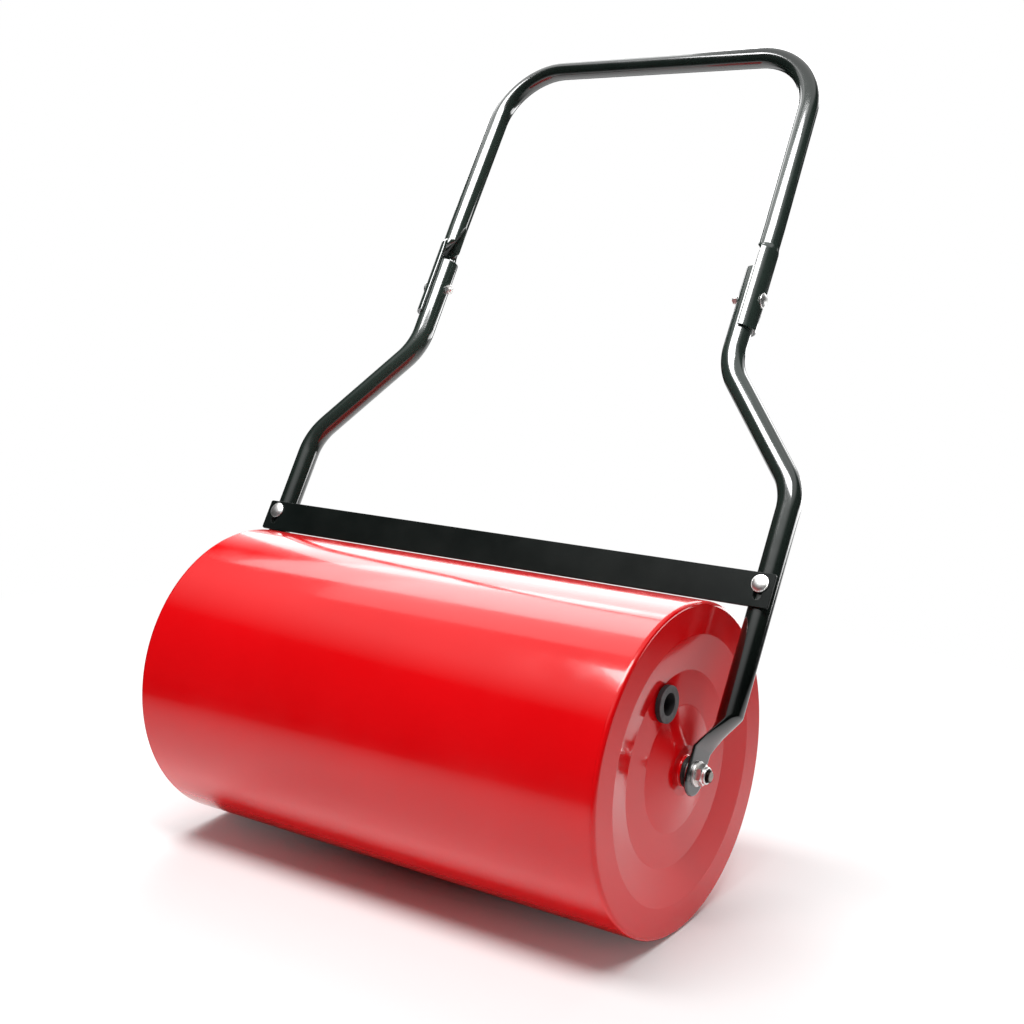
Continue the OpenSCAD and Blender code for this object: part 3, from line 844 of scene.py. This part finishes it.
def makeScraperBar():
    corner = bar["corner"]
    x, y = bar["half"] - corner, bar["height"] / 2 - corner
    loops = [arcPoints(x, y, corner, 0, 90) + arcPoints(-x, y, corner, 90, 180)
             + arcPoints(-x, -y, corner, 180, 270) + arcPoints(x, -y, corner, 270, 360)]
    top = bar["height"] / 2 - bar["boltBelowTop"]
    for side in sides:
        x = side * lowerTube["forkHalf"]
        loops.append(arcPoints(x, top, bar["slotRadius"], 180, 0, 16)
                     + arcPoints(x, top - bar["travel"], bar["slotRadius"], 0, -180, 16))
    shape = setAll(
        bpy.data.curves.new("barShape", "CURVE"), dimensions="2D", fill_mode="BOTH",
        extrude=bar["thick"] / 2 - bar["edge"], bevel_depth=bar["edge"], bevel_resolution=2,
        offset=-bar["edge"])
    for loop in loops:
        spline = shape.splines.new("POLY")
        spline.points.add(len(loop) - 1)
        for point, (x, y) in zip(spline.points, loop):
            point.co = (x, y, 0, 1)
        spline.use_cyclic_u = True
    drawn = addObject("barShape", shape)
    mesh = plainMesh(drawn)
    bpy.data.objects.remove(drawn)
    bpy.data.curves.remove(shape)
    piece = addObject("scraperBar", mesh)
    mesh.materials.clear()
    mesh.materials.append(paintedBar)
    tidyMesh(piece)
    for face in mesh.polygons:
        face.use_smooth = True
    addModifier(piece, "WEIGHTED_NORMAL", mode="FACE_AREA", weight=80)
    freeze(piece)
    middle = Vector((0, bar["back"] - bar["thick"] / 2, bar["low"] + bar["height"] / 2))
    piece.data.transform(handlePlane @ Matrix.Translation(middle) @ Matrix.Rotation(pi / 2, 4, "X"))
    return piece


scraperBar = makeScraperBar()
print("scraper built")


# fasteners, each made once and put on both sides
def headSection(bolt, length):
    # a round head with a bright rim and a raised crown, then its neck and its threaded shank
    head, foot, crown, fine = bolt["head"], bolt["rimHeight"], bolt["head"] - bolt["rim"], bolt["fine"]
    neck, shank, steps = bolt["neck"], bolt["radius"] - bolt["pitch"] * thread["shank"], bolt["steps"]
    dome = [1 - (k / steps) ** bolt["swell"] for k in range(steps + 1)]
    return [
        *((crown * k / steps, foot + (bolt["headHeight"] - foot) * dome[k]) for k in range(steps + 1)),
        (crown + fine * 1.5, foot), (head - fine * 4, foot), (head - fine, foot - fine * 2),
        (head, foot - fine * 5), (head, fine * 2), (head - fine * 3, 0), (neck, 0),
        (neck, -bolt["neckLength"]), (shank, -bolt["neckLength"]), (shank, -length + thread["tip"]),
        (shank - thread["tip"], -length), (0, -length),
    ]


nutShape = {"segments": 96, "flatShare": 0.97, "coneRows": 4, "lip": 0.0005, "lipShare": 0.1}


def hexSection(name, across, height, bore, chamfer):
    # a hexagon whose corners are cut by a cone, so each flat ends in a curve
    segments, apothem, rows = nutShape["segments"], across / 2, nutShape["coneRows"]
    corner, cut = apothem / cos(pi / 6), apothem * nutShape["flatShare"]
    cone = [chamfer * k / rows for k in range(rows + 1)]
    angles = [2 * pi * k / segments for k in range(segments)]
    rings = []
    for level in sorted({*cone, 0.5, *(1 - step for step in cone)}):
        limit = cut + (corner - cut) * min(min(level, 1 - level) / chamfer, 1)
        reach = [min(apothem / cos((a + pi / 6) % (pi / 3) - pi / 6), limit) for a in angles]
        rings.append([(d * cos(a), d * sin(a), level * height) for a, d in zip(angles, reach)])
    lip = min(nutShape["lip"], height * nutShape["lipShare"])
    for radius, z in ((bore + lip, height), (bore, height - lip), (bore, lip), (bore + lip, 0)):
        rings.append([(radius * cos(a), radius * sin(a), z) for a in angles])
    faces = []
    for r in range(len(rings)):
        for k in range(segments):
            here, up = r * segments, (r + 1) % len(rings) * segments
            ahead = (k + 1) % segments
            faces.append((here + k, here + ahead, up + ahead, up + k))
    piece = meshPiece(name, [p for ring in rings for p in ring], (), faces)
    piece.data.materials.append(platedZinc)
    tidyMesh(piece)
    smoothMesh(piece, sharpOver=25)
    return piece


def placeFasteners(name, fastener, spots, material, turn=0):
    # spots are (place, facing), turn is in degrees, and the fastener itself isn't kept
    piece = meshPiece(name, [place for place, facing in spots])
    facings = piece.data.attributes.new("facing", "FLOAT_VECTOR", "POINT")
    for i, (place, facing) in enumerate(spots):
        facings.data[i].vector = facing
    growPiece(piece, fastenerTree, Fastener=fastener, Turn=radians(turn), Material=material)
    removePiece(fastener)
    return piece


def axleSpots(along):
    return [((side * along, 0, axleHeight), (side, 0, 0)) for side in sides]


def handleSpots(x, y, z, out=0, back=0):
    # a place on each side in the handle's plane, and the way it faces there
    turn = handlePlane.to_3x3()
    return [(handlePlane @ Vector((side * x, y, z)), turn @ Vector((side * out, back, 0)))
            for side in sides]


axle = {
    "radius": 0.008, "shoulder": 0.289, "threadRadius": 0.006, "end": 0.311, "chamfer": 0.0009,
    "pitch": 0.00175, "threadDepth": 0.0009, "threadFrom": 0.3045,
    "nutAcross": 0.018, "nutHeight": 0.0062, "nutFrom": 0.2985, "collar": 0.0082,
    "collarHeight": 0.0031, "insert": 0.0066, "insertDrop": 0.0007, "washer": 0.012,
    "washerThick": 0.0025, "spacer": 0.012, "nutTurn": 12, "nutChamfer": 0.16, "slack": 0.0002,
    "threadIn": 0.0005, "nutRounds": {2: 0.0010, 3: 0.0003}, "insertIn": 0.0004,
    "ringRounds": {0: 0.0002, 1: 0.0003, 2: 0.0005, 3: 0.0002},
}
thread = {"slack": 0.00005, "tip": 0.0006, "shank": 0.35, "inset": 0.30, "ridge": 0.42,
          "rodOut": 0.10, "rodRidge": 0.40}
# what the joint bolts and the scraper bolts have in common, and their own sizes
smallBolt = {"radius": 0.003, "pitch": 0.001, "nutAcross": 0.010, "nutChamfer": 0.14, "steps": 16,
             "fine": 0.0001}
jointBolt = {
    **smallBolt, "neck": 0.003, "neckLength": 0.001, "head": 0.00825, "headHeight": 0.0035,
    "rim": 0.0009, "rimHeight": 0.0011, "swell": 2.3, "nutHeight": 0.005, "out": 0.22165,
    "in": 0.19325, "tail": 0.002, "threaded": 0.010, "nutTurn": 20,
}
scraperBolt = {
    **smallBolt, "neck": 0.004, "neckLength": 0.0036, "head": 0.009, "headHeight": 0.003,
    "rim": 0.0010, "rimHeight": 0.0010, "swell": 2.6, "nutHeight": 0.0032, "front": -0.01585,
    "height": 0.18682, "tail": 0.0012, "threaded": 0.006, "nutTurn": 8,
}


def makeAxleRod():
    core = axle["threadRadius"] - axle["threadDepth"]
    shoulder, end, threadFrom = axle["shoulder"], axle["end"], axle["threadFrom"]
    half = [(axle["radius"], 0), (axle["radius"], shoulder), (axle["threadRadius"], shoulder),
            (axle["threadRadius"], threadFrom), (core, threadFrom + axle["threadIn"]),
            (core, end - axle["chamfer"]), (core - axle["chamfer"], end), (0, end)]
    parts = [ontoAxle(turned("rodCore", mirrored(half), bareAxle, closed=False))]
    for side in sides:
        ridge = meshPiece("rodThread", [])
        growPiece(ridge, threadTree, Radius=core + axle["pitch"] * thread["rodOut"],
                  Pitch=axle["pitch"], Turns=(end - axle["chamfer"] - threadFrom) / axle["pitch"],
                  Ridge=axle["pitch"] * thread["rodRidge"], Start=(0, 0, 0), Material=bareAxle)
        smoothMesh(ridge, sharpOver=40)
        parts.append(ontoAxle(ridge, side, side * threadFrom))
    return mergePieces("axleRod", parts)


def makeAxleNuts():
    bore = axle["threadRadius"] + thread["slack"]
    nut = hexSection("nutHex", axle["nutAcross"], axle["nutHeight"], bore, axle["nutChamfer"])
    low, high = axle["nutHeight"] - axle["slack"], axle["nutHeight"] + axle["collarHeight"]
    mouth, seat = axle["insert"], high - axle["insertDrop"]
    section = [(bore, low), (axle["collar"], low), (axle["collar"], high), (mouth, high),
               (mouth, seat), (bore, seat)]
    collar = turned("nutCollar", section, platedZinc, 96, rounds=axle["nutRounds"], steps=5)
    nut = mergePieces("axleNut", [nut, collar])
    return placeFasteners("axleNuts", nut, axleSpots(axle["nutFrom"]), platedZinc, axle["nutTurn"])


def makeNutInserts():
    # the dark nylon ring that locks each axle nut, just above its seat in the collar
    seat = axle["nutHeight"] + axle["collarHeight"] - axle["insertDrop"]
    inner, fine = axle["threadRadius"] - axle["insertIn"], 0.0001
    section = [(inner, seat), (axle["insert"], seat), (axle["insert"] - fine * 2, seat + fine * 3),
               (inner + fine * 3, seat + fine * 4)]
    ring = turned("insertRing", section, blackNylon)
    return placeFasteners("nutInserts", ring, axleSpots(axle["nutFrom"]), blackNylon)


def makeRings(name, outer, thick, along):
    bore = axle["threadRadius"] + axle["slack"]
    section = [(bore, 0), (outer, 0), (outer, thick), (bore, thick)]
    ring = turned(name + "One", section, platedZinc, 96, rounds=axle["ringRounds"], steps=3)
    return placeFasteners(name, ring, axleSpots(along), platedZinc)


def makeBolts(name, bolt, grip, spots):
    # a turned bolt that clamps the given thickness, with a thread wound round its last part
    length = grip + bolt["nutHeight"] + bolt["tail"]
    piece = turned(name + "One", headSection(bolt, length), platedZinc, closed=False, sharpOver=40)
    growPiece(piece, threadTree, Radius=bolt["radius"] - bolt["pitch"] * thread["inset"],
              Pitch=bolt["pitch"], Turns=bolt["threaded"] / bolt["pitch"],
              Ridge=bolt["pitch"] * thread["ridge"], Start=(0, 0, thread["tip"] - length),
              Material=platedZinc)
    smoothMesh(piece, sharpOver=40)
    return placeFasteners(name, piece, spots, platedZinc)


def makeNuts(name, bolt, spots):
    nut = hexSection(name + "One", bolt["nutAcross"], bolt["nutHeight"],
                     bolt["radius"] + thread["slack"], bolt["nutChamfer"])
    return placeFasteners(name, nut, spots, platedZinc, bolt["nutTurn"])


axleRod = makeAxleRod()
axleNuts, nutInserts = makeAxleNuts(), makeNutInserts()
axleWashers = makeRings("axleWashers", axle["washer"], axle["washerThick"], arm["outer"])
axleSpacers = makeRings("axleSpacers", axle["spacer"], arm["inner"] - axle["shoulder"],
                        axle["shoulder"])
jointBolts = makeBolts("jointBolts", jointBolt, jointBolt["out"] - jointBolt["in"],
                       handleSpots(jointBolt["out"], 0, joint["boltHeight"], out=1))
jointNuts = makeNuts("jointNuts", jointBolt,
                     handleSpots(jointBolt["in"], 0, joint["boltHeight"], out=-1))
scraperBolts = makeBolts(
    "scraperBolts", scraperBolt, 2 * lowerTube["radius"] + bar["thick"],
    handleSpots(lowerTube["forkHalf"], scraperBolt["front"], scraperBolt["height"], back=-1))
scraperNuts = makeNuts("scraperNuts", scraperBolt, handleSpots(
    lowerTube["forkHalf"], lowerTube["radius"], scraperBolt["height"], back=1))
print("fasteners built")


# each piece rides on its body and stands for its solids
placing = [
    (drumShell, "drum", "red_paint", ["drum_shell"]),
    (endCapLeft, "drum", "red_paint", ["end_cap_left"]),
    (endCapRight, "drum", "red_paint", ["end_cap_right"]),
    (fillerNeck, "drum", "red_paint", ["filler_neck"]),
    (axleSleeve, "drum", "red_paint", ["axle_sleeve"]),
    (bushLeft, "drum", "nylon", ["bush_left"]),
    (bushRight, "drum", "nylon", ["bush_right"]),
    (fillerPlug, "plug", "rubber", ["filler_plug"]),
    (scraperBar, "scraper", "black_paint", ["scraper_bar"]),
    (upperHandle, "handle_frame", "black_paint", ["upper_handle"]),
    (lowerTubeLeft, "handle_frame", "black_paint", ["lower_tube_left"]),
    (lowerTubeRight, "handle_frame", "black_paint", ["lower_tube_right"]),
    (axleRod, "handle_frame", "axle_steel", ["axle_rod"]),
    (axleNuts, "handle_frame", "zinc_plate", ["axle_nut_left", "axle_nut_right"]),
    (axleWashers, "handle_frame", "zinc_plate", ["axle_washer_left", "axle_washer_right"]),
    (axleSpacers, "handle_frame", "zinc_plate", ["axle_spacer_left", "axle_spacer_right"]),
    (jointBolts, "handle_frame", "zinc_plate", ["joint_bolt_left", "joint_bolt_right"]),
    (jointNuts, "handle_frame", "zinc_plate", ["joint_nut_left", "joint_nut_right"]),
    (scraperBolts, "handle_frame", "zinc_plate", ["scraper_bolt_left", "scraper_bolt_right"]),
    (scraperNuts, "handle_frame", "zinc_plate", ["scraper_nut_left", "scraper_nut_right"]),
    (nutInserts, "handle_frame", "nylon", []),
    (weldTacks, "drum", "red_paint", []),
]
for piece, body, slotName, nodes in placing:
    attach(piece, body)
    if nodes:
        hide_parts(*nodes)
print("pieces placed on their bodies")


# floor, lamps and backdrop
studio = {
    "floorSize": 24.0, "floorColour": (0.86, 0.86, 0.86), "lighter": 1.03, "cloud": (1.5, 2.0),
    "fade": (0.05, 1.05), "fadeShape": (0.72, 1, 1), "fadePower": 1.3,
    "backdropWay": (-0.26, 0.96, 0.10), "backdropEdge": (0.66, 0.80),
    "fill": 0.09, "room": 0.012, "ceiling": 0.75, "ceilingEdge": (0.58, 0.74),
    "skirting": (0.04, 0.12), "sweep": 0.86, "sweepEnd": (1.6, 2.4),
}
lamps = {
    "overhead": {"place": (0.15, -0.62, 2.15), "aim": (0.1, -0.30, 0.3),
                 "size": (2.0, 0.62), "glow": 13.8},
    "topBack": {"place": (-0.86, 0.82, 1.45), "aim": (-0.86, 0.81, 0),
                "size": (1.16, 0.95), "glow": 2.8},
    "topEdge": {"place": (-0.70, 0.62, 1.47), "aim": (-0.70, 0.61, 0),
                "size": (0.84, 1.35), "glow": 1.0},
    "backWall": {"place": (-0.95, 2.60, 1.70), "aim": (0, 0, 0.60), "size": (3.4, 1.6), "glow": 2.9},
    "lowSweep": {"place": (0.84, 1.71, 0.18), "aim": (0.28, 0, 0.16),
                 "size": (2.0, 0.32), "glow": 4.4},
}


def mathOf(tree, operation, first, second):
    return addNode(tree, "ShaderNodeMath", {0: first, 1: second}, operation=operation)


def raysOf(tree):
    # the kinds of ray, and 1 for a mirror's rays and those through glass
    rays = addNode(tree, "ShaderNodeLightPath", {}).outputs
    return rays, mathOf(tree, "MAXIMUM", rays["Is Glossy Ray"], rays["Is Transmission Ray"])


def towardsBackdrop(tree, direction):
    # 1 where a direction points at the pale backdrop behind the roller, 0 in the dark room
    unit = addNode(tree, "ShaderNodeVectorMath", {0: direction}, operation="NORMALIZE")
    along = addNode(tree, "ShaderNodeVectorMath", {
        0: unit, 1: Vector(studio["backdropWay"]).normalized()}, operation="DOT_PRODUCT")
    return rangeOf(tree, along.outputs["Value"], *studio["backdropEdge"])


def makeFloor():
    half = studio["floorSize"] / 2
    floor = meshPiece("studioFloor", [(-half, -half, 0), (half, -half, 0), (half, half, 0),
                                      (-half, half, 0)], (), [(0, 1, 2, 3)])
    material, tree, shader = startMaterial("studioPaper", Roughness=0.9, Specular_IOR_Level=0.1)
    coords, pale = coordsOf(tree), studio["floorColour"]
    paper = blendOf(tree, noiseOf(tree, coords, *studio["cloud"]), pale,
                    tuple(c * studio["lighter"] for c in pale))
    tree.links.new(paper, shader.inputs["Base Color"])
    away = rangeOf(tree, lengthOf(tree, coordsOf(tree, scale=studio["fadeShape"])), *studio["fade"])
    away = mathOf(tree, "POWER", away, studio["fadePower"])
    # far from the roller the camera sees plain white, and gloss sees the backdrop or the room
    rays, seen = raysOf(tree)
    sweep = rangeOf(tree, lengthOf(tree, coords), *studio["sweepEnd"], studio["sweep"], studio["room"])
    backdrop = rangeOf(tree, towardsBackdrop(tree, coords), 0, 1, studio["room"], 1)
    gloss = mathOf(tree, "MULTIPLY", mathOf(tree, "MULTIPLY", sweep, backdrop), seen)
    white = addNode(tree, "ShaderNodeEmission", {
        "Strength": mathOf(tree, "MAXIMUM", rays["Is Camera Ray"], gloss)})
    shown = mathOf(tree, "MAXIMUM", rays["Is Camera Ray"], seen)
    mix = addNode(tree, "ShaderNodeMixShader", {
        0: mathOf(tree, "MULTIPLY", away, shown), 1: shader, 2: white})
    tree.links.new(mix.outputs[0], tree.nodes["Material Output"].inputs["Surface"])
    floor.data.materials.append(material)


def makeLamps():
    for name, lamp in lamps.items():
        wide, deep = lamp["size"]
        light = addObject(name, setAll(bpy.data.lights.new(name, "AREA"), shape="RECTANGLE", size=wide,
                                       size_y=deep, energy=lamp["glow"] * pi * wide * deep))
        way = Vector(lamp["aim"]) - Vector(lamp["place"])
        turn = way.to_track_quat("-Z", "Y").to_matrix().to_4x4()
        light.matrix_world = Matrix.Translation(lamp["place"]) @ turn
        light.visible_camera = False


def makeWorld():
    # the camera sees white, gloss sees the backdrop and the ceiling, and the rest is a dim fill
    world = bpy.data.worlds.new("studioWorld")
    world.use_nodes = True
    tree = world.node_tree
    sky = addNode(tree, "ShaderNodeTexCoord", {}).outputs["Generated"]
    height = axisOf(tree, sky, "Z")
    ceiling = rangeOf(tree, height, *studio["ceilingEdge"], studio["room"], studio["ceiling"])
    above = rangeOf(tree, height, *studio["skirting"])
    backdrop = mathOf(tree, "MULTIPLY", towardsBackdrop(tree, sky), above)
    rays, seen = raysOf(tree)
    gloss = mathOf(tree, "MULTIPLY", mathOf(tree, "MAXIMUM", backdrop, ceiling), seen)
    fill = mathOf(tree, "MULTIPLY", rays["Is Diffuse Ray"], studio["fill"])
    strength = mathOf(tree, "MAXIMUM", mathOf(tree, "MAXIMUM", rays["Is Camera Ray"], gloss), fill)
    background = tree.nodes["Background"]
    background.inputs["Color"].default_value = (1, 1, 1, 1)
    tree.links.new(strength.outputs[0], background.inputs["Strength"])
    bpy.context.scene.world = world


makeFloor()
makeLamps()
makeWorld()
bpy.context.scene.view_settings.view_transform = "Standard"
print("studio set")


# where the photograph's points show on the finished pieces, in the photograph's frame
def toPhoto(point):
    # a place in metres as x, y in the photograph's frame
    local = photoCamera.matrix_world.inverted() @ Vector(point)
    scale = photoSize * camera["lens"] / camera["sensor"] / -local.z
    return (photoSize / 2 + local.x * scale - camera["shiftX"] * photoSize,
            photoSize / 2 - local.y * scale + camera["shiftY"] * photoSize)


wholeSurface = surfaceOf([piece for piece, *rest in placing])
clearance = 0.0006


def shownOf(piece, wanted=lambda place: True):
    # image places of a piece's vertices that the camera sees
    start, places = photoCamera.matrix_world.translation, []
    for vertex in piece.data.vertices:
        if wanted(vertex.co):
            way = vertex.co - start
            hit = wholeSurface.ray_cast(start, way.normalized())[3]
            if hit is None or hit > way.length - clearance:
                places.append(toPhoto(vertex.co))
    return places


def middleOf(places):
    xs, ys = zip(*places)
    return (min(xs) + max(xs)) / 2, (min(ys) + max(ys)) / 2


def barCorner(side):
    corner = handlePlane @ Vector((side * bar["half"], bar["back"] - bar["thick"],
                                   bar["low"] + bar["height"]))
    near = shownOf(scraperBar, lambda p: (p - corner).length < 2 * bar["corner"])
    x, y = toPhoto(corner)
    return min(near, key=lambda p: hypot(p[0] - x, p[1] - y))


def headPlace(p):
    # how far a place stands out in front of the scraper bolts' seat
    return scraperBolt["front"] - (handlePlane.inverted() @ p).y


drumShown, handleShown, capShown = shownOf(drumShell), shownOf(upperHandle), shownOf(endCapRight)
armShown = shownOf(lowerTubeRight, lambda p: p.z < axleHeight)
nearTop = lowerTube["top"] - 10 * tiny
topRim = shownOf(lowerTubeRight, lambda p: (handlePlane.inverted() @ p).z > nearTop)
shown = {
    "drumLeftEdge": (min(x for x, y in drumShown), 0),
    "handleRightEdge": (max(x for x, y in handleShown), 0),
    "handleTopEdge": (0, min(y for x, y in handleShown)),
    "capBottomEdge": (0, max(y for x, y in capShown)),
    "scraperHeadLeft": middleOf(shownOf(scraperBolts, lambda p: p.x < 0 and headPlace(p) > 0)),
    "scraperHeadRight": middleOf(shownOf(scraperBolts, lambda p: p.x > 0 and headPlace(p) > 0)),
    "barCornerTopLeft": barCorner(-1),
    "barCornerTopRight": barCorner(1),
    "jointHeadRight": middleOf(shownOf(jointBolts, lambda p: p.x > jointBolt["out"])),
    "jointNutLeft": middleOf(shownOf(jointNuts, lambda p: p.x < 0)),
    "plugRing": middleOf(shownOf(fillerPlug)),
    "washerCentre": middleOf(shownOf(axleWashers, lambda p: p.x > 0)),
    "axleEnd": middleOf(shownOf(axleRod, lambda p: p.x > axle["end"] - axle["chamfer"])),
    "armLowEnd": (0, max(y for x, y in armShown)),
    "lowerTubeTopRight": (0, min(y for x, y in topRim)),
    "weldTack": middleOf(shownOf(weldTacks, lambda p: p.x > 0)),
}
